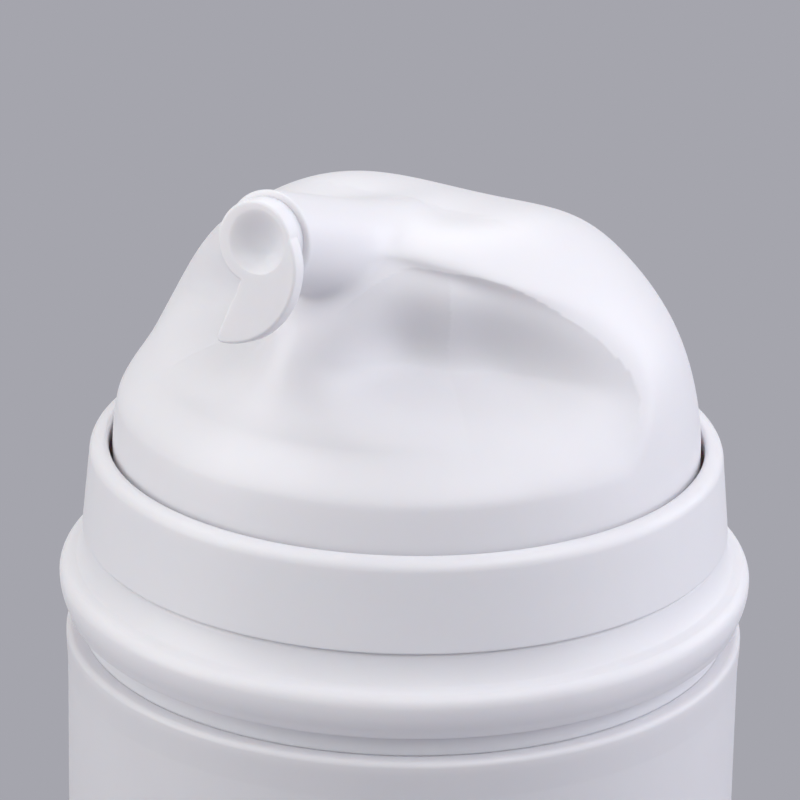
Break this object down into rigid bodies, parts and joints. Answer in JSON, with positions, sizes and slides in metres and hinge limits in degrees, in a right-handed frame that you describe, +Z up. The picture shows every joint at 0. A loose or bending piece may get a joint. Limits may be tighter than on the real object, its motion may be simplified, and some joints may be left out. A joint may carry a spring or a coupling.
{
  "type": "airless pump bottle",
  "caption": "Round airless bottle with a follower piston, a pressed-on collar and a domed press head whose upturned spout is closed by a pull-out plug.",
  "frame": {"origin": "on the bottle's axis, at the flat foot the bottle stands on", "axes": "+Z up along the bottle's axis, the spout points along -Y"},
  "size_m": [0.0512, 0.0512, 0.1242],
  "materials": {
    "bottle_pp": "satin moulded polypropylene",
    "collar_pp": "satin moulded polypropylene",
    "head_pp": "satin moulded polypropylene",
    "plug_pe": "satin moulded polyethylene",
    "base_pp": "satin moulded polypropylene",
    "inner_pp": "natural polypropylene",
    "piston_pe": "natural polyethylene",
    "seal_rubber": "matt",
    "spring_steel": "drawn wire"
  },
  "bodies": {
    "root": {"bottle_body": "bottle_pp", "base_cap": "base_pp", "collar": "collar_pp", "pump_deck": "inner_pp", "deck_seal": "seal_rubber", "chamber_gasket": "seal_rubber", "pump_chamber": "inner_pp", "valve_cage": "inner_pp", "retainer_ring": "inner_pp"},
    "stem_unit": {"stem": "inner_pp", "stem_plug": "inner_pp", "return_spring": "spring_steel"},
    "head": {"actuator_shell": "head_pp", "stem_socket": "inner_pp"},
    "plug": {"nozzle_plug": "plug_pe"},
    "piston": {"pump_piston": "piston_pe"},
    "follower": {"follower_piston": "piston_pe"},
    "valve": {"inlet_valve": "piston_pe"}
  },
  "joints": [
    {"name": "head_press", "type": "slide", "parent": "root", "child": "stem_unit", "axis": [0, 0, -1], "range_m": [0, 0.0065], "stiffness_N_per_m": 900, "springref_m": -0.006, "deforming": ["return_spring"]},
    {"name": "head_turn", "type": "hinge", "parent": "stem_unit", "child": "head", "pos_m": [0, 0, 0.105], "axis": [0, 0, 1], "continuous": true},
    {"name": "plug_pull", "type": "slide", "parent": "head", "child": "plug", "axis": [0, -0.9877, 0.1564], "range_m": [0, 0.009]},
    {"name": "piston_shift", "type": "slide", "parent": "stem_unit", "child": "piston", "axis": [0, 0, 1], "range_m": [0, 0.001]},
    {"name": "follower_rise", "type": "slide", "parent": "root", "child": "follower", "axis": [0, 0, 1], "range_m": [0, 0.0545]},
    {"name": "valve_lift", "type": "slide", "parent": "root", "child": "valve", "axis": [0, 0, 1], "range_m": [0, 0.0008]}
  ]
}
